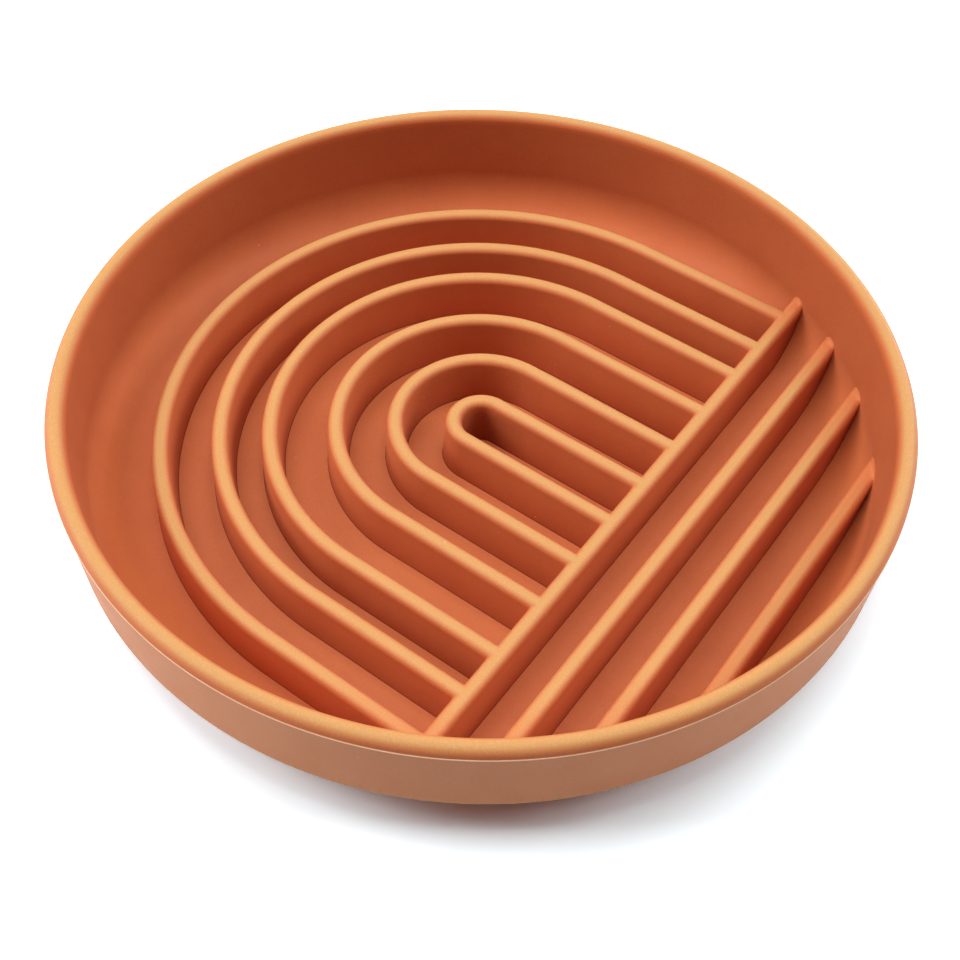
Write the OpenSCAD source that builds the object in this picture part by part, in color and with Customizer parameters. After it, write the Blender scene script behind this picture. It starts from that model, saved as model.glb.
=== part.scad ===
// Slow feeder bowl: a shallow round silicone bowl with a maze of ridges on its floor.
// Six nested arches close against the first of four straight bars. X runs along the arch legs,
// from the arches to the bars, Y runs along the bars and Z is up. The origin is on the table
// under the middle of the bowl. Every section of the moulding is a solid of its own.

/* [Bowl] */
// Diameter over the rim
bowl_d = 220; // [200:1:260]
// Depth from the rim's top to the feeding floor
bowl_depth = 34.7; // [32:0.1:50]
// Thickness of the upright wall and of the round rim on it
wall_t = 4.8; // [3.6:0.1:6]
// How far the inside of the wall comes in on its way down
wall_inset = 1.2; // [0.4:0.1:2.4]
// Radius of the cove between the wall and the floor
cove_r = 15.3; // [14.5:0.1:18]
// Thickness of the floor and of the cove
floor_t = 4.5; // [3.5:0.1:6]
// How far the smooth outer band reaches down past the level where the cove starts
band_drop = 5.6; // [2:0.1:10]
// How far the outer band comes in on its way down
band_inset = 0.8; // [0.2:0.1:1.2]
// Rounding of the band's lower edge
band_edge_r = 0.6; // [0.3:0.1:0.9]
// Width of the step under the band, between its rounded edge and the cove
band_step = 0.9; // [0.2:0.1:3]
// Height of the thin moulding line round the rim
line_h = 0.5; // [0.3:0.1:0.8]
// How far the moulding line stands out
line_out = 0.25; // [0.15:0.05:0.4]

/* [Foot] */
// Height of the ring that the bowl stands on
foot_h = 1.2; // [0.6:0.1:3]
// Distance of the foot ring from the edge of the floor
foot_gap = 3.7; // [0.5:0.1:30]
// Width of the foot ring
foot_w = 6; // [3:0.5:9]

/* [Ridges] */
// Height of every ridge over the floor
ridge_h = 13.8; // [8:0.1:14]
// Thickness of a ridge at its top
ridge_top_t = 4.2; // [3.6:0.1:4.6]
// Thickness of a ridge at the floor
ridge_base_t = 5.8; // [4.6:0.1:6.4]
// Rounding of the ridge shoulders
shoulder_r = 1.7; // [0.5:0.1:1.7]

/* [Arches] */
// The channels share the room between the middle and the sixth arch in the ratio of their widths.
// Clear width inside the first arch, at the floor
slot_w = 9.4; // [6:0.1:14]
// Clear width between the first and the second arch
channel_1_w = 9.9; // [6:0.1:14]
// Clear width between the second and the third arch
channel_2_w = 10; // [6:0.1:14]
// Clear width between the third and the fourth arch
channel_3_w = 11.7; // [6:0.1:14]
// Clear width between the fourth and the fifth arch
channel_4_w = 7.4; // [6:0.1:14]
// Clear width between the fifth and the sixth arch
channel_5_w = 9.7; // [6:0.1:14]
// Gap between the sixth arch's foot and the edge of the floor
arch_gap = 0.5; // [0.1:0.1:3]

/* [Bars] */
// The legs and the bar channels share the room between the middle and the fourth bar likewise.
// Length of the arches' legs, from the middle of the bowl to the foot of the first bar
leg_l = 43.7; // [34:0.1:50]
// Clear width between two bars, at the floor
bar_channel_w = 9.3; // [6:0.1:14]
// Gap between the fourth bar's foot and the upright wall
bar_gap = 9.2; // [4:0.1:14]

/* [Hidden] */
rubber = [0.80, 0.43, 0.25];
$fn = 96;
// Steps in the quarter circle of the cove
cove_steps = 10;
// Steps in the half round of the rim
rim_steps = 18;
// Steps in one ridge shoulder
shoulder_steps = 5;
// Steps in the band's rounded lower edge
edge_steps = 4;
// Number of arches, and of bars
arch_count = 6;
bar_count = 4;

bowl_r = bowl_d / 2;
floor_top = foot_h + floor_t;
bowl_h = floor_top + bowl_depth;
rim_z = bowl_h - wall_t / 2;
inner_top_r = bowl_r - wall_t;
inner_low_r = inner_top_r - wall_inset;
// Angle on the rim's round at which the moulding line ends
line_start = asin(2 * line_h / wall_t);
// The inside of the cove, from the floor's edge up to the wall
cove_x = inner_low_r - cove_r;
cove_z = floor_top + cove_r;
// The outer band, from the rim down to its lower edge
band_low_r = bowl_r - band_inset;
band_low_z = cove_z - band_drop;
band_h = rim_z - band_low_z;
band_cove_r = bowl_r - band_inset * (rim_z - cove_z) / band_h;
// The outside of the cove: an arc that leaves the floor's underside level and ends at the step
cove_out_w = band_low_r - band_edge_r - band_step - cove_x;
cove_out_h = band_low_z - foot_h;
cove_out_r = (cove_out_w * cove_out_w + cove_out_h * cove_out_h) / (cove_out_h * 2);
cove_start = asin((cove_out_r - cove_out_h) / cove_out_r);
// The foot ring stands in from the edge of the floor
foot_out_r = cove_x - foot_gap;
// Radii of the arches, from the sixth, which stands by the floor's edge, and the channel widths
arch_6_r = cove_x - arch_gap - ridge_base_t / 2;
channels_w = slot_w / 2 + channel_1_w + channel_2_w + channel_3_w + channel_4_w + channel_5_w;
channel_fit = (arch_6_r - ridge_base_t * (arch_count - 1 / 2)) / channels_w;
arch_1_r = slot_w / 2 * channel_fit + ridge_base_t / 2;
arch_2_r = arch_1_r + channel_1_w * channel_fit + ridge_base_t;
arch_3_r = arch_2_r + channel_2_w * channel_fit + ridge_base_t;
arch_4_r = arch_3_r + channel_3_w * channel_fit + ridge_base_t;
arch_5_r = arch_4_r + channel_4_w * channel_fit + ridge_base_t;
// Places of the bars, from the fourth, which stands by the wall
bar_4_x = inner_low_r - bar_gap - ridge_base_t / 2;
bar_fit = (bar_4_x - ridge_base_t * (bar_count - 1 / 2)) / (leg_l + bar_channel_w * (bar_count - 1));
bar_1_x = leg_l * bar_fit + ridge_base_t / 2;
bar_pitch = bar_channel_w * bar_fit + ridge_base_t;
// Ridge section: lean of its sides, and the place of the shoulder's centre
side_lean = atan((ridge_base_t - ridge_top_t) / 2 / ridge_h);
shoulder_x = ridge_top_t / 2 - shoulder_r * (1 - sin(side_lean)) / cos(side_lean);
shoulder_z = ridge_h - shoulder_r;

function arc(x, z, r, from, to, steps) =
    [for (i = [0:steps]) let (a = from + (to - from) * i / steps) [x + r * cos(a), z + r * sin(a)]];

// One shoulder and the foot of the right side of a ridge, from the top down
function ridge_side() = concat(
    arc(shoulder_x, shoulder_z, shoulder_r, 90, side_lean, shoulder_steps),
    [[ridge_base_t / 2, 0]]
);

// Section of a ridge, standing on level 0
module ridge_section() {
    right = ridge_side();
    last = len(right) - 1;
    left = [for (i = [0:last]) [-right[last - i][0], right[last - i][1]]];
    polygon(concat(right, left));
}

// The space inside the bowl, up to the rim
module cavity() {
    rotate_extrude()
        polygon(concat(
            [[0, floor_top]],
            arc(cove_x, cove_z, cove_r, -90, 0, cove_steps),
            [[inner_top_r, rim_z], [0, rim_z]]
        ));
}

// A straight ridge along Y at distance x, long enough to reach through the wall
module bar_blank(x) {
    translate([x, 0, floor_top])
        rotate([90, 0, 0])
        linear_extrude(height = bowl_d, center = true)
        ridge_section();
}

// A leg along X from the middle of the bowl to the middle of the first bar
module leg_blank(y) {
    translate([0, y, floor_top])
        rotate([90, 0, 90])
        linear_extrude(height = bar_1_x)
        ridge_section();
}

// A half circle with two legs
module arch_blank(r) {
    translate([0, 0, floor_top])
        rotate([0, 0, 90])
        rotate_extrude(angle = 180)
        translate([r, 0])
        ridge_section();
    leg_blank(r);
    leg_blank(-r);
}

// An arch whose legs end against the side of the first bar
module arch_ridge(r) {
    color(rubber)
        difference() {
            arch_blank(r);
            bar_blank(bar_1_x);
        }
}

// A bar cut to the inside of the bowl
module bar_ridge(x) {
    color(rubber)
        intersection() {
            bar_blank(x);
            cavity();
        }
}

// The half round on top of the wall, with the moulding line round its widest place
module rim_bead() {
    color(rubber)
        rotate_extrude()
        polygon(concat(
            [[bowl_r + line_out, rim_z]],
            arc(bowl_r - wall_t / 2, rim_z, wall_t / 2, line_start, 180, rim_steps)
        ));
}

// The upright wall, from the rim down to where the cove starts
module side_wall() {
    color(rubber)
        rotate_extrude()
        polygon([
            [inner_top_r, rim_z],
            [bowl_r, rim_z],
            [band_cove_r, cove_z],
            [inner_low_r, cove_z]
        ]);
}

// The cove between the wall and the floor, with the band's lower edge standing past it
module base_cove() {
    color(rubber)
        rotate_extrude()
        polygon(concat(
            arc(cove_x, cove_z, cove_r, -90, 0, cove_steps),
            [[band_cove_r, cove_z]],
            arc(band_low_r - band_edge_r, band_low_z + band_edge_r, band_edge_r, 0, -90, edge_steps),
            arc(cove_x, foot_h + cove_out_r, cove_out_r, -cove_start, -90, cove_steps)
        ));
}

// The flat feeding floor
module floor_disc() {
    color(rubber)
        translate([0, 0, foot_h])
        cylinder(h = floor_t, r = cove_x);
}

// The ring that the bowl stands on
module foot_ring() {
    color(rubber)
        difference() {
            cylinder(h = foot_h, r = foot_out_r);
            translate([0, 0, -foot_h])
                cylinder(h = foot_h * 3, r = foot_out_r - foot_w);
        }
}

// The outermost arch, whose legs run up the cove before they reach the bar
module outer_arch_ridge() {
    intersection() {
        arch_ridge(arch_6_r);
        cavity();
    }
}

rim_bead();
side_wall();
base_cove();
floor_disc();  // floor
foot_ring();
arch_ridge(arch_1_r);  // arch_ridge_1
arch_ridge(arch_2_r);  // arch_ridge_2
arch_ridge(arch_3_r);  // arch_ridge_3
arch_ridge(arch_4_r);  // arch_ridge_4
arch_ridge(arch_5_r);  // arch_ridge_5
outer_arch_ridge();  // arch_ridge_6
bar_ridge(bar_1_x);  // bar_ridge_1
bar_ridge(bar_1_x + bar_pitch);  // bar_ridge_2
bar_ridge(bar_1_x + bar_pitch * 2);  // bar_ridge_3
bar_ridge(bar_4_x);  // bar_ridge_4
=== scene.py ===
"""Slow feeder bowl: one moulding of silicone rubber with a maze of ridges on its floor.

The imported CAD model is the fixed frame. Two kinds of piece stand for its solids: the shell of the
bowl, whose outline is carried once round the Z axis, and one swept ridge for each arch and each
bar. All sizes are the CAD model's, in metres. X runs along the arches' legs towards the bars, Y
runs along the bars, Z is up, and the table is at Z = 0.
"""

from __future__ import annotations

import logging
import math
from dataclasses import dataclass, field
from enum import Enum
from typing import Any

import bpy
import numpy as np
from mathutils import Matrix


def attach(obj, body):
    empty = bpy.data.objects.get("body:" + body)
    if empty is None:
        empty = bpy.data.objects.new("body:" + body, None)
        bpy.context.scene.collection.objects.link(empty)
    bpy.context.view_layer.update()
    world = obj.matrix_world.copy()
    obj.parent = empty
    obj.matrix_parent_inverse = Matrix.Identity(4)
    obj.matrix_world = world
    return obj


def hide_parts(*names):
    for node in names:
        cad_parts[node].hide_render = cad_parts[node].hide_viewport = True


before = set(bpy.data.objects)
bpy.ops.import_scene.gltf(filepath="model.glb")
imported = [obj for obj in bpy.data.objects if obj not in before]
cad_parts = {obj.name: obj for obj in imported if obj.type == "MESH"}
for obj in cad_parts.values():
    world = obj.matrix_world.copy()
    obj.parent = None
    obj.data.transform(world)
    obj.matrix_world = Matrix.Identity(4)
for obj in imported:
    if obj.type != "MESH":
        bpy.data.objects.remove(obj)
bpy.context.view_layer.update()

LOG = logging.getLogger("slow_feeder_bowl")
MM = 0.001
BODY = "root"
# Point attribute of painted light and shade: a painted highlight above 0, painted shade below 0
PAINTED_SHADING = "painted_shading"
# Angle between two faces, in degrees, from which the edge between them is shaded sharp
SHARP_FROM = 50
# A colour mix node's sockets: its factor, its colours at factor 0 and at factor 1, its result
FACTOR, FIRST, SECOND, RESULT = 0, 6, 7, 2


# ---------------------------------------------------------------------------------------------
# Helpers
# ---------------------------------------------------------------------------------------------


def linear(code: str) -> tuple[float, float, float, float]:
    """Turns an sRGB hex value into the linear colour that nodes take.

    Args:
        code: six hex digits after a hash sign.

    Returns:
        Red, green, blue and an alpha of one.
    """
    parts = [int(code[i : i + 2], 16) / 255 for i in (1, 3, 5)]
    red, green, blue = (p / 12.92 if p <= 0.04045 else ((p + 0.055) / 1.055) ** 2.4 for p in parts)
    return red, green, blue, 1.0


def add_node(
    tree: bpy.types.NodeTree,
    kind: str,
    inputs: dict[str | int, Any] | None = None,
    **settings: Any,
) -> bpy.types.Node:
    """Adds one node with its settings, and fills or links its inputs.

    Args:
        tree: the node tree that gets the node.
        kind: Blender's name for the kind of node.
        inputs: for each input, by name or number, a value or the output socket to link to it.
        settings: the node's own properties.

    Returns:
        The new node.
    """
    node = tree.nodes.new(kind)
    for name, value in settings.items():
        setattr(node, name, value)
    for key, value in (inputs or {}).items():
        if isinstance(value, bpy.types.NodeSocket):
            tree.links.new(value, node.inputs[key])
        else:
            node.inputs[key].default_value = value
    return node


def arc(x: float, z: float, radius: float, start: float, end: float, steps: int) -> np.ndarray:
    """Points of a circular arc: centre plus radius times (cosine, sine) of evenly spaced angles.

    Args:
        x: the centre's distance from the axis.
        z: the centre's height.
        radius: the arc's radius.
        start: the first angle, in degrees.
        end: the last angle, in degrees.
        steps: how many steps lie between them.

    Returns:
        An array of steps + 1 rows of (x, z).
    """
    angle = np.radians(np.linspace(start, end, steps + 1))
    return np.stack((x + radius * np.cos(angle), z + radius * np.sin(angle)), axis=1)


def line(start: tuple[float, float], end: tuple[float, float], shares: list[float]) -> np.ndarray:
    """Points of a straight line, each a share of the way from its start to its end.

    Args:
        start: the first (x, z).
        end: the last (x, z).
        shares: the share of the way for each point.

    Returns:
        An array of rows of (x, z).
    """
    share = np.array(shares)[:, None]
    return np.array(start) * (1 - share) + np.array(end) * share


def flare(distance: np.ndarray, radius: float) -> np.ndarray:
    """How far a quarter-round fillet stands out at a distance from the face that it runs into.

    With t the distance, held between 0 and the radius r, it is r minus the root of r squared
    minus (r - t) squared: all of r at the face, and nothing from r away.

    Args:
        distance: distances from the face.
        radius: the fillet's radius.

    Returns:
        An array of the same shape as distance.
    """
    t = np.clip(distance, 0, radius)
    return radius - np.sqrt(np.maximum(radius**2 - (radius - t) ** 2, 0))


def signed_volume(points: np.ndarray, faces: list[list[int]]) -> float:
    """Volume inside a closed mesh, below zero where its faces point inwards.

    Each face adds a sixth of the triple product of its first corner and each next pair.

    Args:
        points: an array of rows of (x, y, z).
        faces: corner numbers of each face.

    Returns:
        The volume in cubic metres.
    """
    triangles = np.array([(f[0], b, c) for f in faces for b, c in zip(f[1:-1], f[2:])])
    a, b, c = (points[triangles[:, i]] for i in range(3))
    return float(np.einsum("ij,ij->i", a, np.cross(b, c)).sum() / 6)


def make_piece(
    name: str,
    points: np.ndarray,
    faces: list[list[int]],
    painted_shading: np.ndarray,
    material: bpy.types.Material,
) -> bpy.types.Object:
    """Makes a closed, smooth-shaded mesh object at the origin, with its faces pointing outwards.

    Args:
        name: the piece's name.
        points: an array of rows of (x, y, z).
        faces: corner numbers of each face, all turning the same way.
        painted_shading: for each point, a painted highlight from 0 to 1 or painted shade down to
            -1,
        and 2 for the moulding line's painted highlight.
        material: the finish.

    Returns:
        The new object, linked to the scene.
    """
    if signed_volume(points, faces) < 0:
        faces = [face[::-1] for face in faces]
    mesh = bpy.data.meshes.new(name)
    mesh.from_pydata(points.tolist(), [], faces)
    mesh.polygons.foreach_set("use_smooth", np.ones(len(faces), dtype=bool))
    mesh.set_sharp_from_angle(angle=math.radians(SHARP_FROM))
    # Each point keeps its painted highlight or painted shade, which the material turns into colour
    shading_attribute = mesh.attributes.new(PAINTED_SHADING, "FLOAT", "POINT")
    shading_attribute.data.foreach_set("value", painted_shading.astype(np.float32).ravel())
    mesh.materials.append(material)
    mesh.update()
    piece = bpy.data.objects.new(name, mesh)
    bpy.context.scene.collection.objects.link(piece)
    return piece


def grid_faces(rows: int, columns: int) -> list[list[int]]:
    """Four-cornered faces between the neighbours of a grid of points numbered row by row.

    Each row is a closed loop: its last column is joined to its first.

    Args:
        rows: how many rows of points there are.
        columns: how many points each row has.

    Returns:
        Corner numbers of each face.
    """
    row = np.arange(rows - 1)[:, None] * columns
    next_row = row + columns
    column = np.arange(columns)[None, :]
    next_column = (column + 1) % columns
    corners = (row + column, next_row + column, next_row + next_column, row + next_column)
    return np.stack(corners, axis=2).reshape(-1, 4).tolist()


# ---------------------------------------------------------------------------------------------
# The rubber
# ---------------------------------------------------------------------------------------------


@dataclass(frozen=True)
class MouldedSilicone:
    """Silicone rubber with a terracotta pigment, pressed in a mould whose face is finely blasted.

    The blasted face gives the rubber a soft, even sheen with no sharp highlight. The pigment is
    opaque and strong, so light that goes back and forth between the ridges turns red and deep.
    The painted shading attribute turns each point towards the highlight pigment up to 1, from
    there on to the whitish colour of the moulding line's painted highlight up to 2, and towards the
    shade pigment below 0. Silicone draws dust, which shows as a few grains, many faint specks and
    an uneven bloom; the specks are denser where a highlight is painted.
    """

    name: str = "moulded silicone rubber"
    pigment: str = "#CD6D3F"
    thin_pigment: str = "#D17242"
    # Lighter, yellower colour for a painted highlight where light falls strongly
    highlight_pigment: str = "#CF9558"
    # Darker colour for painted shade in corners, low on the sides and under the bowl
    shade_pigment: str = "#84321A"
    # Colour of the real dust grains, and of the moulding line's painted highlight
    dust_and_line_highlight: str = "#F2D3B4"
    ior: float = 1.41
    shine: float = 0.3
    roughness: float = 0.5
    rougher: float = 0.58
    sheen: float = 0.02
    sheen_roughness: float = 0.5
    noise_roughness: float = 0.55
    bloom_width: float = 14 * MM
    bloom_from: float = 0.35
    bloom_to: float = 0.65
    patch_width: float = 8.4 * MM
    patch_from: float = 0.3
    patch_to: float = 0.7
    speck_width: float = 0.5 * MM
    speck_from: float = 0.4
    speck_to: float = 0.7
    speck_share: float = 0.03
    # More specks where a highlight is painted
    highlight_speck_share: float = 0.09
    # Share of the whitish colour in the moulding line's painted highlight
    line_highlight_share: float = 0.85
    grain_width: float = 0.35 * MM
    grain_depth: float = 0.03 * MM
    ripple_width: float = 6 * MM
    ripple_depth: float = 0.02 * MM
    dust_spacing: float = 9 * MM
    dust_size: float = 0.2 * MM
    dust_missing: float = 0.6
    dust_share: float = 0.45

    def make(self) -> bpy.types.Material:
        """Builds the material.

        The bloom of the dust also dulls the face, so the roughness has a slow pattern of its own.

        Returns:
            The node material.
        """
        material = bpy.data.materials.new(self.name)
        material.use_nodes = True
        tree = material.node_tree
        tree.nodes.clear()
        place = add_node(tree, "ShaderNodeTexCoord").outputs["Object"]
        rough = add_node(
            tree,
            "ShaderNodeMapRange",
            {
                "Value": self._noise(tree, place, self.patch_width, detail=3.0),
                "From Min": self.patch_from,
                "From Max": self.patch_to,
                "To Min": self.roughness,
                "To Max": self.rougher,
            },
        )
        shader = add_node(
            tree,
            "ShaderNodeBsdfPrincipled",
            {
                "Base Color": self._colour(tree, place),
                "Roughness": rough.outputs["Result"],
                "IOR": self.ior,
                "Specular IOR Level": self.shine,
                "Sheen Weight": self.sheen,
                "Sheen Roughness": self.sheen_roughness,
                "Normal": self._relief(tree, place),
            },
        )
        add_node(tree, "ShaderNodeOutputMaterial", {"Surface": shader.outputs["BSDF"]})
        return material

    def _noise(
        self, tree: bpy.types.NodeTree, place: bpy.types.NodeSocket, width: float, detail: float
    ) -> bpy.types.NodeSocket:
        """Soft noise whose features are about one width across.

        Args:
            tree: the material's nodes.
            place: the point's place on the object.
            width: the size of a feature, in metres.
            detail: how many finer layers lie on it.

        Returns:
            The noise's value, from 0 to 1.
        """
        inputs = {
            "Vector": place,
            "Scale": 1 / width,
            "Detail": detail,
            "Roughness": self.noise_roughness,
        }
        return add_node(tree, "ShaderNodeTexNoise", inputs).outputs["Fac"]

    def _colour(
        self, tree: bpy.types.NodeTree, place: bpy.types.NodeSocket
    ) -> bpy.types.NodeSocket:
        """The pigment with its painted highlight and painted shade, and the dust on it.

        Args:
            tree: the material's nodes.
            place: the point's place on the object.

        Returns:
            The colour's socket.
        """
        # Painted light and shade, read from the point attribute
        painted_shading = add_node(tree, "ShaderNodeAttribute", attribute_name=PAINTED_SHADING).outputs["Fac"]
        inputs = {
            FACTOR: self._dust_and_line_highlight(tree, place, painted_shading),
            FIRST: self._pigment_with_bloom_and_shading(tree, place, painted_shading),
            SECOND: linear(self.dust_and_line_highlight),
        }
        return add_node(tree, "ShaderNodeMix", inputs, data_type="RGBA").outputs[RESULT]

    def _pigment_with_bloom_and_shading(
        self, tree: bpy.types.NodeTree, place: bpy.types.NodeSocket, painted_shading: bpy.types.NodeSocket
    ) -> bpy.types.NodeSocket:
        """The pigment with its faint bloom, its painted highlight and its painted shade.

        Args:
            tree: the material's nodes.
            place: the point's place on the object.
            painted_shading: the point's painted highlight or shade.

        Returns:
            The colour's socket.
        """
        bloom = add_node(
            tree,
            "ShaderNodeMapRange",
            {
                "Value": self._noise(tree, place, self.bloom_width, detail=4.0),
                "From Min": self.bloom_from,
                "From Max": self.bloom_to,
            },
        )
        # A painted highlight mixes in the highlight pigment, and painted shade mixes in the shade
        # pigment
        shade_share = add_node(tree, "ShaderNodeMath", {0: painted_shading, 1: -1.0}, operation="MULTIPLY")
        colour: Any = linear(self.pigment)
        for share, other in (
            (bloom.outputs["Result"], self.thin_pigment),
            (painted_shading, self.highlight_pigment),
            (shade_share.outputs[0], self.shade_pigment),
        ):
            inputs = {FACTOR: share, FIRST: colour, SECOND: linear(other)}
            colour = add_node(tree, "ShaderNodeMix", inputs, data_type="RGBA").outputs[RESULT]
        return colour

    def _dust_and_line_highlight(
        self, tree: bpy.types.NodeTree, place: bpy.types.NodeSocket, painted_shading: bpy.types.NodeSocket
    ) -> bpy.types.NodeSocket:
        """How much of the colour is whitish: dust specks, plus a dust grain or the moulding line's
        painted highlight.

        A grain lies where a point is close to the middle of a cell of scattered points, and only
        in the cells whose random number is high. A face with a painted highlight has more specks.

        Args:
            tree: the material's nodes.
            place: the point's place on the object.
            painted_shading: the point's painted highlight or shade.

        Returns:
            The share's socket.
        """
        cells = add_node(
            tree, "ShaderNodeTexVoronoi", {"Vector": place, "Scale": 1 / self.dust_spacing}
        )
        near = add_node(
            tree,
            "ShaderNodeMath",
            {0: cells.outputs["Distance"], 1: self.dust_size / self.dust_spacing},
            operation="LESS_THAN",
        )
        chance = add_node(tree, "ShaderNodeSeparateColor", {"Color": cells.outputs["Color"]})
        chosen = add_node(
            tree,
            "ShaderNodeMath",
            {0: chance.outputs["Red"], 1: self.dust_missing},
            operation="GREATER_THAN",
        )
        grain = add_node(
            tree, "ShaderNodeMath", {0: near.outputs[0], 1: chosen.outputs[0]}, operation="MULTIPLY"
        )
        faint = add_node(
            tree, "ShaderNodeMath", {0: grain.outputs[0], 1: self.dust_share}, operation="MULTIPLY"
        )
        # The moulding line's painted highlight, where the shading attribute runs from 1 to 2
        line_highlight = add_node(
            tree,
            "ShaderNodeMapRange",
            {"Value": painted_shading, "From Min": 1.0, "From Max": 2.0, "To Max": self.line_highlight_share},
        )
        most = add_node(
            tree, "ShaderNodeMath", {0: faint.outputs[0], 1: line_highlight.outputs[0]}, operation="MAXIMUM"
        )
        specks = add_node(
            tree,
            "ShaderNodeMapRange",
            {
                "Value": self._noise(tree, place, self.speck_width, detail=1.0),
                "From Min": self.speck_from,
                "From Max": self.speck_to,
            },
        )
        # Specks grow denser where a highlight is painted
        share = add_node(
            tree,
            "ShaderNodeMapRange",
            {"Value": painted_shading, "To Min": self.speck_share, "To Max": self.highlight_speck_share},
        )
        return add_node(
            tree,
            "ShaderNodeMath",
            {0: specks.outputs[0], 1: share.outputs[0], 2: most.outputs[0]},
            operation="MULTIPLY_ADD",
        ).outputs[0]

    def _relief(
        self, tree: bpy.types.NodeTree, place: bpy.types.NodeSocket
    ) -> bpy.types.NodeSocket:
        """The blasted face's fine grain, on the slight ripple that a soft moulding keeps.

        The real grain is about 0.1 mm wide, too fine for a pixel, so it is drawn as wide as it
        needs to show.

        Args:
            tree: the material's nodes.
            place: the point's place on the object.

        Returns:
            The bent normal's socket.
        """
        ripple = {
            "Height": self._noise(tree, place, self.ripple_width, detail=2.0),
            "Strength": 1.0,
            "Distance": self.ripple_depth,
        }
        grain = {
            "Height": self._noise(tree, place, self.grain_width, detail=2.0),
            "Strength": 1.0,
            "Distance": self.grain_depth,
            "Normal": add_node(tree, "ShaderNodeBump", ripple).outputs["Normal"],
        }
        return add_node(tree, "ShaderNodeBump", grain).outputs["Normal"]


# ---------------------------------------------------------------------------------------------
# The bowl
# ---------------------------------------------------------------------------------------------


@dataclass(frozen=True)
class Bed:
    """The surface that the ridges stand on: the flat floor, and the cove round it."""

    floor_z: float = 5.7 * MM
    cove_x: float = 88.7 * MM
    cove_r: float = 15.3 * MM

    @property
    def cove_z(self) -> float:
        """Height of the cove's centre, at which the upright wall starts."""
        return self.floor_z + self.cove_r

    def height(self, radius: np.ndarray, sink: float = 0.0) -> np.ndarray:
        """Height of the surface at a distance from the axis.

        With s how far the surface is taken down into the rubber and d the distance past the
        floor's edge, held between 0 and the cove's radius, it is the centre's height minus the
        root of (cove radius + s) squared minus d squared.

        Args:
            radius: distances from the axis.
            sink: how far below the real surface the asked one lies.

        Returns:
            An array of heights.
        """
        past = np.clip(radius - self.cove_x, 0, self.cove_r)
        return self.cove_z - np.sqrt((self.cove_r + sink) ** 2 - past**2)

    def reach(self, z: float, sink: float = 0.0) -> float:
        """Distance from the axis at which the surface, taken down by sink, has the height z."""
        return self.cove_x + math.sqrt((self.cove_r + sink) ** 2 - (self.cove_z - z) ** 2)


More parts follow.
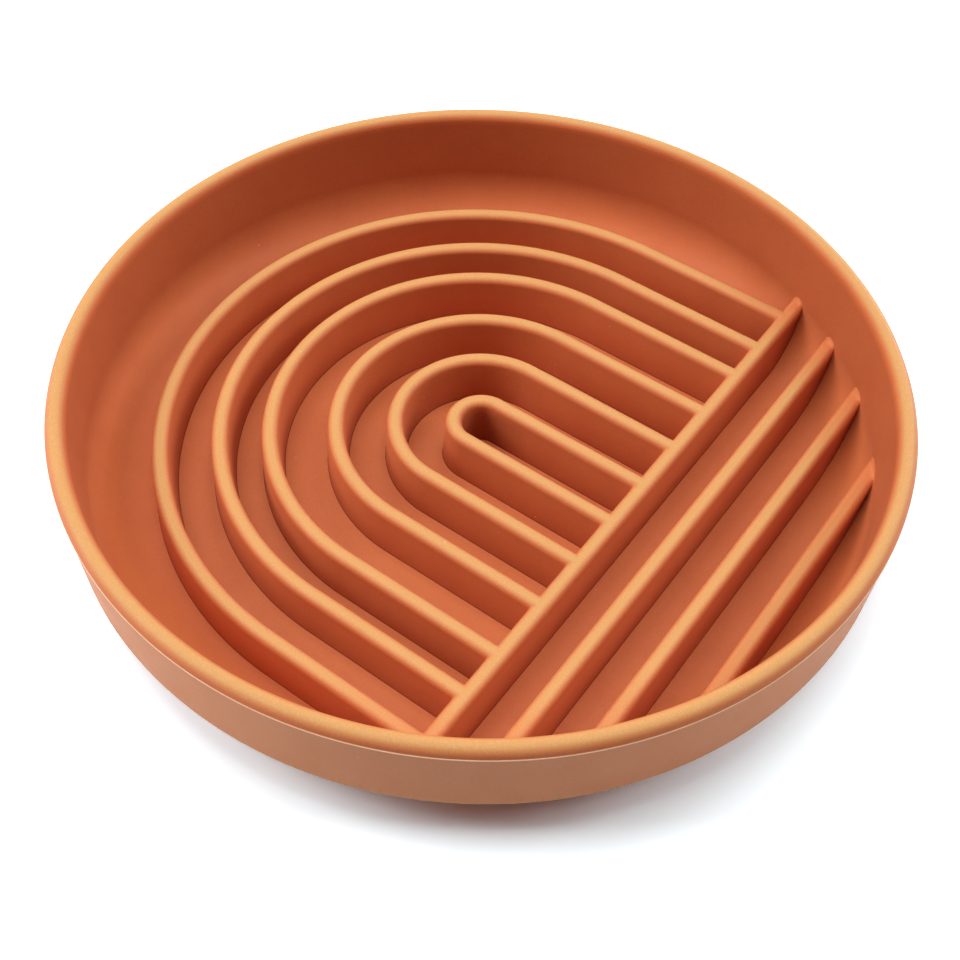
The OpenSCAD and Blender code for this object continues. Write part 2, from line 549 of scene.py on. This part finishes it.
@dataclass
class BowlShell:
    """Floor, cove, wall, rim, outer band and foot ring: everything but the ridges.

    Its outline runs from the middle of the floor over the rim and under the bowl to the middle of
    the underside, and is carried once round the axis.
    """

    bed: Bed = field(default_factory=Bed)
    rim_r: float = 110 * MM
    rim_z: float = 38 * MM
    wall: float = 4.8 * MM
    line_height: float = 0.5 * MM
    line_out: float = 0.25 * MM
    line_join: float = 0.275 * MM
    band_low_r: float = 109.2 * MM
    band_low_z: float = 15.4 * MM
    band_edge: float = 0.6 * MM
    step: float = 0.9 * MM
    foot_height: float = 1.2 * MM
    foot_out_r: float = 85 * MM
    foot_width: float = 6 * MM
    foot_edge: float = 0.4 * MM
    # Where the rim's painted highlight starts and how far it fades, in from each side
    in_start: float = 0.25 * MM
    in_fade: float = 1.1 * MM
    out_start: float = 0.2 * MM
    out_fade: float = 1.3 * MM
    edge_start: float = 0.15 * MM
    # Distance past the rim from which the moulding line gets its painted highlight
    line_highlight_start: float = 0.075 * MM
    bed_margin: float = 0.4 * MM
    # Share of the painted highlight on the rim's round
    rim_highlight: float = 1.0
    # Paler share on the outer band: a painted reflection of the white table
    band_reflection: float = 0.33
    # Painted highlight along the band's rounded lower edge
    edge_highlight: float = 0.75
    # Painted shade on the underside, darker the lower it lies
    under_shade: float = -0.7
    # A little painted light on the floor, and painted shade on the inner wall
    floor_light: float = 0.06
    wall_shade: float = -0.27
    # Value that marks the moulding line's painted highlight
    line_highlight: float = 2.0
    cove_steps: int = 30
    rim_steps: int = 32
    edge_steps: int = 10
    under_steps: int = 26
    foot_steps: int = 5
    turns: int = 360

    def outline(self) -> np.ndarray:
        """The half section, from the floor's middle to the underside's middle.

        The rim's round ends where the moulding line joins it, a little over the widest place: at
        the angle whose sine is that height over the round's radius.

        Returns:
            An array of rows of (distance from the axis, height).
        """
        bed, radius = self.bed, self.wall / 2
        floor_edge = (bed.cove_x, bed.floor_z)
        floor_shares = [0, 0.06, 0.18, 0.34, 0.5, 0.66, 0.82, 0.95, 0.993]
        wall_foot = (bed.cove_x + bed.cove_r, bed.cove_z)
        wall_top = (self.rim_r - self.wall, self.rim_z)
        join = math.degrees(math.asin(self.line_join / radius))
        return np.concatenate(
            (
                line((0, bed.floor_z), floor_edge, floor_shares),
                arc(bed.cove_x, bed.cove_z, bed.cove_r, -90, 0, self.cove_steps),
                line(wall_foot, wall_top, [0.02, 0.15, 0.4, 0.7, 0.93]),
                arc(self.rim_r - radius, self.rim_z, radius, 180, join, self.rim_steps),
                self._moulding_line(),
                self._band(),
                self._underside(),
                self._foot(),
            )
        )

    def _moulding_line(self) -> np.ndarray:
        """The thin line where the mould's halves met, as a low ledge round the rim's widest place.

        Its top lies half of the line's height over the widest place, and it drops off below.

        Returns:
            An array of rows of (distance from the axis, height).
        """
        out = np.array([0.1, 0.7, 1, 1, 0.7, 0]) * self.line_out
        up = np.array([0.5, 0.45, 0.3, 0, -0.2, -0.35]) * self.line_height
        return np.stack((self.rim_r + out, self.rim_z + up), axis=1)

    def _band(self) -> np.ndarray:
        """The smooth outer band down to its rounded lower edge, and the step behind it.

        Returns:
            An array of rows of (distance from the axis, height).
        """
        low_r, low_z, edge = self.band_low_r, self.band_low_z, self.band_edge
        top = (self.rim_r, self.rim_z - self.line_height)
        return np.concatenate(
            (
                line(top, (low_r, low_z + edge), [0, 0.05, 0.2, 0.4, 0.6, 0.8, 0.95]),
                arc(low_r - edge, low_z + edge, edge, 0, -90, self.edge_steps),
                line((low_r - edge, low_z), (low_r - edge - self.step, low_z), [0.3, 0.8]),
            )
        )

    def _underside(self) -> np.ndarray:
        """The outside of the cove: an arc that leaves the floor's underside level.

        With w its width and h its height, its radius is (w squared + h squared) over 2 h.

        Returns:
            An array of rows of (distance from the axis, height).
        """
        width = self.band_low_r - self.band_edge - self.step - self.bed.cove_x
        height = self.band_low_z - self.foot_height
        radius = (width**2 + height**2) / (2 * height)
        start = math.degrees(math.asin((radius - height) / radius))
        centre_z = self.foot_height + radius
        return arc(self.bed.cove_x, centre_z, radius, -start, -90, self.under_steps)

    def _foot(self) -> np.ndarray:
        """The foot ring, with its edges rounded, and the underside inside it.

        Returns:
            An array of rows of (distance from the axis, height).
        """
        out, edge, top, steps = self.foot_out_r, self.foot_edge, self.foot_height, self.foot_steps
        inner = out - self.foot_width
        return np.concatenate(
            (
                [(out + edge, top)],
                arc(out + edge, top - edge, edge, 90, 180, steps)[1:],
                arc(out - edge, edge, edge, 0, -90, steps),
                arc(inner + edge, edge, edge, -90, -180, steps),
                arc(inner - edge, top - edge, edge, 0, 90, steps),
                line((inner - edge, top), (0, top), [0.02, 0.3, 0.65, 0.92, 1]),
            )
        )

    def painted_shading(self, points: np.ndarray) -> np.ndarray:
        """Painted light and shade of the shell: painted highlights on the rim's round and the
        moulding line, and a paler painted reflection on the band.

        The rim's highlight grows with the distance in from both its sides, each from its own start
        over its own fade. The floor's painted light fades into the inner wall's painted shade up
        the cove, with the square of the height. The underside gets painted shade, darker the lower
        it lies.

        Args:
            points: an array of rows of (x, y, z).

        Returns:
            A share for each point: below zero for painted shade, 2 for the moulding line's
                highlight.
        """
        radius, z = np.hypot(points[:, 0], points[:, 1]), points[:, 2]
        from_inside = (radius - self.rim_r + self.wall - self.in_start) / self.in_fade
        from_outside = (self.rim_r - radius - self.out_start) / self.out_fade
        # Painted highlight on the rim's round
        rim = np.clip(np.minimum(from_inside, from_outside), 0, 1) * self.rim_highlight
        # Painted light on the floor fades into painted shade on the inner wall up the cove
        up = np.clip((z - self.bed.floor_z) / self.bed.cove_r, 0, 1) ** 2
        inside = self.floor_light * (1 - up) + self.wall_shade * up
        # Painted reflection on the band, and a painted highlight on its lower edge
        band = np.where(z > self.band_low_z + self.band_edge, self.band_reflection, self.edge_highlight)
        # Painted shade on the underside, growing towards the table
        low = np.clip((self.band_low_z - z) / (self.band_low_z - self.foot_height), 0, 1)
        outside = np.where(z > self.band_low_z + self.edge_start, band, self.under_shade * low)
        over_bed = z > self.bed.height(radius) - self.bed_margin
        is_inside = over_bed & (radius < self.rim_r - self.wall / 2)
        painted_shading = np.where(z >= self.rim_z, rim, np.where(is_inside, inside, outside))
        # Painted highlight on the moulding line
        return np.where(radius > self.rim_r + self.line_highlight_start, self.line_highlight, painted_shading)

    def build(self, material: bpy.types.Material) -> bpy.types.Object:
        """Carries the outline round the axis and closes both its ends with one point each.

        A point of the outline at distance r and height z becomes r times (cosine, sine) of each
        of the evenly spaced turns, at height z.

        Args:
            material: the finish.

        Returns:
            The shell.
        """
        outline = self.outline()
        rings = outline[1:-1]
        turn = np.linspace(0, 2 * math.pi, self.turns, endpoint=False)
        x = rings[:, :1] * np.cos(turn)
        y = rings[:, :1] * np.sin(turn)
        z = np.repeat(rings[:, 1:], self.turns, axis=1)
        points = np.stack((x, y, z), axis=2).reshape(-1, 3)
        top, bottom = len(points), len(points) + 1
        points = np.concatenate((points, [(0, 0, outline[0][1]), (0, 0, outline[-1][1])]))
        faces = grid_faces(len(rings), self.turns)
        j = np.arange(self.turns)
        next_j = (j + 1) % self.turns
        last = (len(rings) - 1) * self.turns
        faces += np.stack((np.full_like(j, top), j, next_j), axis=1).tolist()
        faces += np.stack((last + j, np.full_like(j, bottom), last + next_j), axis=1).tolist()
        piece = make_piece("bowl_shell", points, faces, self.painted_shading(points), material)
        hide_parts("rim_bead", "side_wall", "base_cove", "floor", "foot_ring")
        return piece


# ---------------------------------------------------------------------------------------------
# The ridges
# ---------------------------------------------------------------------------------------------


@dataclass(frozen=True)
class RidgeSection:
    """Section of a ridge: a flat top with two round shoulders, and sides that lean in upwards."""

    height: float = 13.8 * MM
    top: float = 4.2 * MM
    base: float = 5.8 * MM
    shoulder: float = 1.7 * MM
    root: float = 0.12 * MM
    tip: float = 1.2 * MM
    tip_round: float = 0.85
    # The top's painted highlight is darker towards the wall that shades it: its share at the wall
    # and its fade
    tip_highlight: float = 0.1
    tip_highlight_fade: float = 20 * MM
    # Painted shade on the sides by the wall: its strength there and how far it reaches
    tip_shade_depth: float = 0.8
    tip_shade: float = 14 * MM
    under_top: float = 2 * MM
    # How the top's painted highlight falls off over the shoulder
    highlight_fall: float = 1.1
    highlight_power: float = 1.4
    # Painted shade low on the sides up to this height, and a thin line of painted shade in the root
    # corner
    low_height: float = 9 * MM
    low_shade: float = 0.4
    line_height: float = 0.5 * MM
    root_line_shade: float = 0.6
    flat_shares: tuple[float, ...] = (0.0, 0.55, 0.9)
    shoulder_steps: int = 14
    side_steps: int = 12
    side_power: float = 2.5
    tolerance: float = 0.001

    @property
    def lean(self) -> float:
        """Angle between a side and the upright, in radians."""
        return math.atan((self.base - self.top) / 2 / self.height)

    @property
    def flat(self) -> float:
        """Half the width of the flat top, between the shoulders."""
        return self.top / 2 - self.shoulder * (1 - math.sin(self.lean)) / math.cos(self.lean)

    @property
    def side_top(self) -> float:
        """Height over the floor at which the shoulder ends and the side starts."""
        return self.height - self.shoulder * (1 - math.sin(self.lean))

    def columns(self) -> tuple[np.ndarray, np.ndarray, np.ndarray]:
        """The section's columns, by what they are.

        Returns:
            Three arrays: the half width of each column of the top and shoulders, its height over
            the floor, both for one half from the middle outwards, and the side columns' shares
            of the way down from the shoulder to the bed, closest together at the bed.
        """
        low, end = self.height - self.shoulder, math.degrees(self.lean)
        shoulder = arc(self.flat, low, self.shoulder, 90, end, self.shoulder_steps)
        flat = np.array(self.flat_shares) * self.flat
        across = np.concatenate((flat, shoulder[:, 0]))
        up = np.concatenate((np.full_like(flat, self.height), shoulder[:, 1]))
        steps = np.arange(1, self.side_steps + 1) / self.side_steps
        return across, up, 1 - (1 - steps) ** self.side_power

    def half_width(self, z: np.ndarray) -> np.ndarray:
        """Half the ridge's width on its straight sides, at heights over the floor."""
        return self.top / 2 + (self.height - z) * math.tan(self.lean)

    def past_flat(self, half: np.ndarray) -> np.ndarray:
        """Whether half widths reach the end of the flat top, give or take the tolerance."""
        return half >= self.flat * (1 - self.tolerance)

    def top_highlight(self, across: np.ndarray) -> np.ndarray:
        """How much painted highlight the top gets where light falls on it: all of it on the flat,
        and none low on the shoulder.

        The share is 1 minus the fall times a power of the way out over the shoulder, held
        above 0.

        Args:
            across: half widths of the top and shoulder columns.

        Returns:
            A share for each column.
        """
        way = np.clip((across - self.flat) / (self.top / 2 - self.flat), 0, 1)
        return np.clip(1 - self.highlight_fall * way**self.highlight_power, 0, 1)

    def shaded(self, over: np.ndarray) -> np.ndarray:
        """Painted shade low on the sides, below zero: darkest of all in the root corner.

        It is minus the sum of two falls, each from its own depth at the bed to none at its
        height over the bed.

        Args:
            over: heights over the bed.

        Returns:
            A share for each point.
        """
        low = np.clip(1 - over / self.low_height, 0, 1) * self.low_shade
        return -low - np.clip(1 - over / self.line_height, 0, 1) * self.root_line_shade

    def wall_and_bend_shade(self, z: np.ndarray, to_wall: np.ndarray, bend_shade: np.ndarray) -> np.ndarray:
        """Painted shade on the whole side, below zero, where the wall and a bend shade it.

        It is minus the sum of the bend's painted shade and of a fall from the tip's shade strength
        at the wall to none at the tip's shade distance away from it. It grows from none under the
        shoulder.

        Args:
            z: heights over the floor.
            to_wall: distances from the wall, as far in as the ridge's top meets it.
            bend_shade: the painted shade in the bend.

        Returns:
            A share for each point.
        """
        under = np.clip((self.side_top - z) / self.under_top, 0, 1)
        return -under * (bend_shade + self.tip_shade_depth * np.clip(1 - to_wall / self.tip_shade, 0, 1))


@dataclass
class Ridge:
    """A ridge: its section carried along a path on the bed, with its foot sunk into the rubber.

    A column of the grid is one place on the section, from the left foot over the top to the
    right foot. A row is one place on the path.
    """

    name: str
    node: str
    section: RidgeSection = field(default_factory=RidgeSection)
    bed: Bed = field(default_factory=Bed)
    sink: float = 0.8 * MM

    def surface(self, side: int) -> tuple[np.ndarray, np.ndarray]:
        """One half of the ridge, as points for every row of the path, and how it has worn.

        The top and shoulders keep their section. A side column runs straight down from the
        shoulder to the bed, one more column lies sink below the bed, and the half width grows
        with the lean. The root's fillet adds to it near the bed. Close to the upright wall the
        top runs up in a fillet of its own, and each side column takes its share of that rise.

        The top's painted highlight fades towards the wall, which shades it. Where the top has no
        painted highlight, painted shade goes on instead: the shade low on the sides plus the shade
        by the wall and in a bend.

        Args:
            side: 1 or -1, for the side of the path on which this half lies.

        Returns:
            The points' (x, y, z) grid, and the painted highlight or shade of each point.
        """
        s, bed = self.section, self.bed
        across, height, down = s.columns()
        foot_r = np.hypot(*self.place(side, np.array([s.base / 2]), np.array([0.0])))
        bed_z = np.minimum(bed.height(foot_r) - bed.floor_z, s.side_top - s.root / 2)
        sunk_z = np.minimum(bed.height(foot_r, self.sink) - bed.floor_z, bed_z - s.root / 2)
        side_z = np.concatenate((s.side_top + (bed_z - s.side_top) * down, sunk_z), axis=1)
        rows = (len(side_z), 1)
        z = np.concatenate((np.tile(height, rows), side_z), axis=1)
        half = np.concatenate((np.tile(across, rows), s.half_width(side_z)), axis=1)
        x, y = self.place(side, half, z)
        over = z + bed.floor_z - bed.height(np.hypot(x, y))
        half = half + np.where(s.past_flat(half), flare(over, s.root), 0)
        x, y = self.place(side, half, z)
        to_wall = bed.reach(bed.floor_z + s.height) - np.hypot(x, y)
        round_off = 1 - s.tip_round * (across / across[-1]) ** 2
        kept = np.concatenate((round_off, round_off[-1] * (1 - down), [0.0]))
        z = z + flare(to_wall, s.tip) * kept
        top_highlight = np.concatenate((s.top_highlight(across), np.zeros(len(down) + 1)))
        # Painted shade low on the sides, by the wall and in a bend
        painted_shade = np.maximum(s.shaded(over) + s.wall_and_bend_shade(z, to_wall, self.bend_shade(x, side)), -1)
        # Painted highlight on the top, fading towards the wall, and painted shade elsewhere
        painted_shading = top_highlight * np.clip(s.tip_highlight + to_wall / s.tip_highlight_fade, 0, 1) + painted_shade * (top_highlight == 0)
        return np.stack((x, y, z + bed.floor_z), axis=2), painted_shading

    def place(self, side: int, half: np.ndarray, z: np.ndarray) -> tuple[np.ndarray, np.ndarray]:
        """The x and y of half widths at heights over the floor, which each kind of ridge gives."""
        raise NotImplementedError

    def bend_shade(self, x: np.ndarray, side: int) -> np.ndarray:
        """Painted shade in a bend: none on a straight ridge."""
        return np.zeros_like(x)

    def build(self, material: bpy.types.Material) -> bpy.types.Object:
        """Makes both halves, joins them into one closed skin and caps its two ends.

        Args:
            material: the finish.

        Returns:
            The ridge.
        """
        # Each half comes with the painted highlight or painted shade of every point
        left, left_shading = self.surface(-1)
        right, right_shading = self.surface(1)
        grid = np.concatenate((left[:, :0:-1], right), axis=1)
        painted_shading = np.concatenate((left_shading[:, :0:-1], right_shading), axis=1)
        rows, columns = grid.shape[:2]
        faces = grid_faces(rows, columns)
        faces.append(list(range(columns)))
        faces.append(list(range(rows * columns - 1, (rows - 1) * columns - 1, -1)))
        piece = make_piece(self.name, grid.reshape(-1, 3), faces, painted_shading, material)
        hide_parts(self.node)
        return piece


@dataclass
class ArchRidge(Ridge):
    """A half round with two legs that run into the side of the first bar."""

    radius: float = 0.0
    bar_x: float = 0.0
    joint: float = 0.35 * MM
    # Painted shade inside the half round: its strength and how far along the legs it reaches
    bend_shade_depth: float = 0.6
    bend_fade: float = 12 * MM
    near_rows: int = 18
    far_rows: int = 20
    far_power: float = 1.2
    arc_steps: int = 96

    def path(self) -> tuple[np.ndarray, np.ndarray, np.ndarray]:
        """The middle line, from the end of one leg round the arch to the end of the other.

        A leg's rows are close together near the bar, and wider apart on the way to the arch.

        Returns:
            The points' x, y, and the angle of the direction that points out of the arch.
        """
        end = self.bar_x - self.section.flat
        near = end - np.linspace(0, self.section.base / 2 + self.joint, self.near_rows)
        shares = np.linspace(0, 1, self.far_rows + 2)[1:-1]
        leg = np.concatenate((near, near[-1] * (1 - shares**self.far_power)))
        out = np.full(len(leg), self.radius)
        turn = np.linspace(-math.pi / 2, -1.5 * math.pi, self.arc_steps + 1)
        x = np.concatenate((leg, self.radius * np.cos(turn), leg[::-1]))
        y = np.concatenate((-out, self.radius * np.sin(turn), out))
        angle = np.concatenate((np.full(len(leg), turn[0]), turn, np.full(len(leg), turn[-1])))
        return x, y, angle

    def bend_shade(self, x: np.ndarray, side: int) -> np.ndarray:
        """Painted shade inside the half round, where the bend shades the side.

        It is the bend's shade strength times the ridge's thickness over the arch's radius, and it
        falls to none a little way along the legs.

        Args:
            x: the points' places along the legs.
            side: 1 for the outside of the arch and -1 for its inside.

        Returns:
            A share for each point.
        """
        share = self.bend_shade_depth * self.section.base / self.radius if side < 0 else 0.0
        return share * np.clip(1 - x / self.bend_fade, 0, 1)

    def place(self, side: int, half: np.ndarray, z: np.ndarray) -> tuple[np.ndarray, np.ndarray]:
        """The path's point plus the half width along the outward direction, for every row.

        Close to the bar the half width also grows by the fillet of the corner between leg and
        bar. The distance to the bar's face is measured at the same height.

        Args:
            side: 1 for the outside of the arch and -1 for its inside.
            half: half widths.
            z: their heights over the floor.

        Returns:
            The points' x and y.
        """
        path_x, path_y, angle = (a[:, None] for a in self.path())
        s = self.section
        face = np.maximum(np.where(z > s.side_top, half, s.half_width(z)), s.flat)
        gap = self.bar_x - face - path_x
        reach = side * (half + np.where(s.past_flat(half), flare(gap, self.joint), 0))
        return path_x + reach * np.cos(angle), path_y + reach * np.sin(angle)


@dataclass
class BarRidge(Ridge):
    """A straight ridge along Y, whose ends run up the cove and into the wall."""

    x: float = 0.0
    end_margin: float = 0.2 * MM
    rows: int = 121

    def place(self, side: int, half: np.ndarray, z: np.ndarray) -> tuple[np.ndarray, np.ndarray]:
        """The bar's place plus the half width, and a share of the way along it for every row.

        The way ends inside the rubber of the wall, at the same distance from the axis for every
        column, so y there is the root of that distance squared minus x squared. The shares are
        closer together towards the ends, as the sine of evenly spaced angles is.

        Args:
            side: 1 for the side away from the arches and -1 for the side towards them.
            half: half widths.
            z: their heights over the floor, which change nothing on a bar.

        Returns:
            The points' x and y.
        """
        end_z = self.bed.floor_z + self.section.side_top - self.end_margin
        end = self.bed.reach(end_z, self.sink)
        share = np.sin(np.linspace(-math.pi / 2, math.pi / 2, self.rows))[:, None]
        x = self.x + side * half
        return x, share * np.sqrt(end**2 - x**2)


@dataclass
class Maze:
    """All ten ridges."""

    arch_radii: tuple[float, ...] = (
        7.6 * MM,
        23.3 * MM,
        39.1 * MM,
        56.6 * MM,
        69.8 * MM,
        85.3 * MM,
    )
    bar_places: tuple[float, ...] = (46.6 * MM, 61.7 * MM, 76.8 * MM, 91.9 * MM)

    def build(self, material: bpy.types.Material) -> list[bpy.types.Object]:
        """Builds the arches from the inside out, and then the bars.

        Args:
            material: the finish.

        Returns:
            The ridges.
        """
        arches = [
            ArchRidge(f"ridge_arch_{i}", f"arch_ridge_{i}", radius=r, bar_x=self.bar_places[0])
            for i, r in enumerate(self.arch_radii, start=1)
        ]
        bars = [
            BarRidge(f"ridge_bar_{i}", f"bar_ridge_{i}", x=x)
            for i, x in enumerate(self.bar_places, start=1)
        ]
        return [ridge.build(material) for ridge in (*arches, *bars)]


# ---------------------------------------------------------------------------------------------
# The studio
# ---------------------------------------------------------------------------------------------


class Ray(Enum):
    """The kinds of ray that see the plain white background."""

    CAMERA = "Is Camera Ray"
    GLOSSY = "Is Glossy Ray"
    TRANSMISSION = "Is Transmission Ray"


@dataclass(frozen=True)
class Softbox:
    """A square soft lamp. Its bearing goes round from the camera's side by way of the right."""

    name: str
    bearing: float
    elevation: float
    power: float
    distance: float = 1.2
    size: float = 0.5


@dataclass
class Studio:
    """A white table in a white room, with softboxes round the bowl."""

    camera_azimuth: float = 34.76
    white: str = "#FFFFFF"
    table_size: float = 16.0
    table_colour: str = "#DEDEDE"
    table_seen: tuple[float, float, float, float] = (1.38, 1.58, 1.66, 1.0)
    white_from: float = 0.26
    white_to: float = 0.5
    softboxes: tuple[Softbox, ...] = (
        Softbox("softbox_left", 270, 40, 8.0),
        Softbox("softbox_right", 90, 40, 4.9),
        Softbox("softbox_top", 0, 90, 4.0),
        Softbox("softbox_top_left", 240, 66, 3.9),
        Softbox("softbox_top_back", 180, 66, 1.1),
        Softbox("softbox_top_right", 120, 66, 1.6),
        Softbox("softbox_low_back", 135, 15, 5.5),
        Softbox("softbox_low_left", 270, 15, 2.1),
    )

    def seen_directly(self, tree: bpy.types.NodeTree) -> bpy.types.NodeSocket:
        """One where a camera, glossy or transmission ray looks, and zero for all other light.

        Args:
            tree: the node tree that gets the nodes.

        Returns:
            The value's socket.
        """
        path = add_node(tree, "ShaderNodeLightPath")
        seen = path.outputs[Ray.CAMERA.value]
        for ray in (Ray.GLOSSY, Ray.TRANSMISSION):
            inputs = {0: seen, 1: path.outputs[ray.value]}
            seen = add_node(tree, "ShaderNodeMath", inputs, operation="MAXIMUM").outputs[0]
        return seen

    def table(self) -> None:
        """The table: matt white card, which the camera sees a little brighter than it lights.

        Past the bowl's shadow the camera sees it fade into the room's plain white.
        """
        half = self.table_size / 2
        corners = [(-half, -half, 0), (half, -half, 0), (half, half, 0), (-half, half, 0)]
        mesh = bpy.data.meshes.new("table")
        mesh.from_pydata(corners, [], [(0, 1, 2, 3)])
        card = bpy.data.materials.new("matt white card")
        card.use_nodes = True
        tree = card.node_tree
        tree.nodes.clear()
        seen = self.seen_directly(tree)
        colour = add_node(
            tree,
            "ShaderNodeMix",
            {FACTOR: seen, FIRST: linear(self.table_colour), SECOND: self.table_seen},
            data_type="RGBA",
        )
        matt = add_node(tree, "ShaderNodeBsdfDiffuse", {"Color": colour.outputs[RESULT]})
        place = add_node(tree, "ShaderNodeTexCoord").outputs["Object"]
        away = add_node(tree, "ShaderNodeVectorMath", {0: place}, operation="LENGTH")
        far = add_node(
            tree,
            "ShaderNodeMapRange",
            {
                "Value": away.outputs["Value"],
                "From Min": self.white_from,
                "From Max": self.white_to,
            },
        )
        share = add_node(
            tree, "ShaderNodeMath", {0: far.outputs[0], 1: seen}, operation="MULTIPLY"
        )
        white = add_node(tree, "ShaderNodeEmission", {"Color": linear(self.white)})
        shader = add_node(
            tree,
            "ShaderNodeMixShader",
            {0: share.outputs[0], 1: matt.outputs[0], 2: white.outputs[0]},
        )
        add_node(tree, "ShaderNodeOutputMaterial", {"Surface": shader.outputs[0]})
        mesh.materials.append(card)
        table = bpy.data.objects.new("table", mesh)
        bpy.context.scene.collection.objects.link(table)

    def room(self) -> None:
        """The room: plain white where it is seen directly, and dark for all other light."""
        world = bpy.data.worlds.new("white room")
        world.use_nodes = True
        tree = world.node_tree
        tree.nodes.clear()
        light = add_node(
            tree,
            "ShaderNodeBackground",
            {"Color": linear(self.white), "Strength": self.seen_directly(tree)},
        )
        add_node(tree, "ShaderNodeOutputWorld", {"Surface": light.outputs[0]})
        bpy.context.scene.world = world

    def hang(self, box: Softbox) -> bpy.types.Object:
        """Hangs one softbox, facing the middle of the bowl.

        Its place is the distance times the direction, which is the cosine of the elevation times
        the bearing's direction, plus the sine of the elevation upwards.

        Args:
            box: the softbox.

        Returns:
            The lamp.
        """
        lamp = bpy.data.lights.new(box.name, "AREA")
        lamp.shape = "SQUARE"
        lamp.size = box.size
        lamp.energy = box.power
        hung = bpy.data.objects.new(box.name, lamp)
        turn = math.radians(self.camera_azimuth - 90 + box.bearing)
        rise = math.radians(box.elevation)
        level = math.cos(rise)
        way = np.array((level * math.cos(turn), level * math.sin(turn), math.sin(rise)))
        hung.location = way * box.distance
        hung.rotation_euler = (math.pi / 2 - rise, 0, turn + math.pi / 2)
        bpy.context.scene.collection.objects.link(hung)
        return hung

    def build(self) -> None:
        """Sets the table, the room and the softboxes up."""
        self.table()
        self.room()
        for box in self.softboxes:
            LOG.info("lamp %s", self.hang(box).name)


@dataclass(frozen=True)
class Photographer:
    """The camera, where the fit to the photograph's edges puts it."""

    place: tuple[float, float, float] = (0.13500, -0.19457, 0.28729)
    turn: tuple[float, float, float] = (38.8539, -1.1981, 36.2239)
    lens: float = 49.912
    sensor: float = 36.0
    clip_start: float = 0.01
    clip_end: float = 50.0

    def build(self) -> None:
        """Makes the camera and gives it to the scene."""
        data = bpy.data.cameras.new("camera")
        data.lens = self.lens
        data.sensor_width = self.sensor
        data.clip_start = self.clip_start
        data.clip_end = self.clip_end
        camera = bpy.data.objects.new("camera", data)
        camera.location = self.place
        camera.rotation_euler = tuple(math.radians(a) for a in self.turn)
        bpy.context.scene.collection.objects.link(camera)
        bpy.context.scene.camera = camera


def main() -> None:
    """Builds the camera, the bowl and the studio, in that order, and reports each piece."""
    logging.basicConfig(level=logging.INFO, format="%(message)s")
    Photographer().build()
    silicone = MouldedSilicone().make()
    for piece in (BowlShell().build(silicone), *Maze().build(silicone)):
        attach(piece, BODY)
        LOG.info("%s: %d faces", piece.name, len(piece.data.polygons))
    Studio().build()
    bpy.context.scene.view_settings.view_transform = "Standard"


if __name__ == "__main__":
    main()
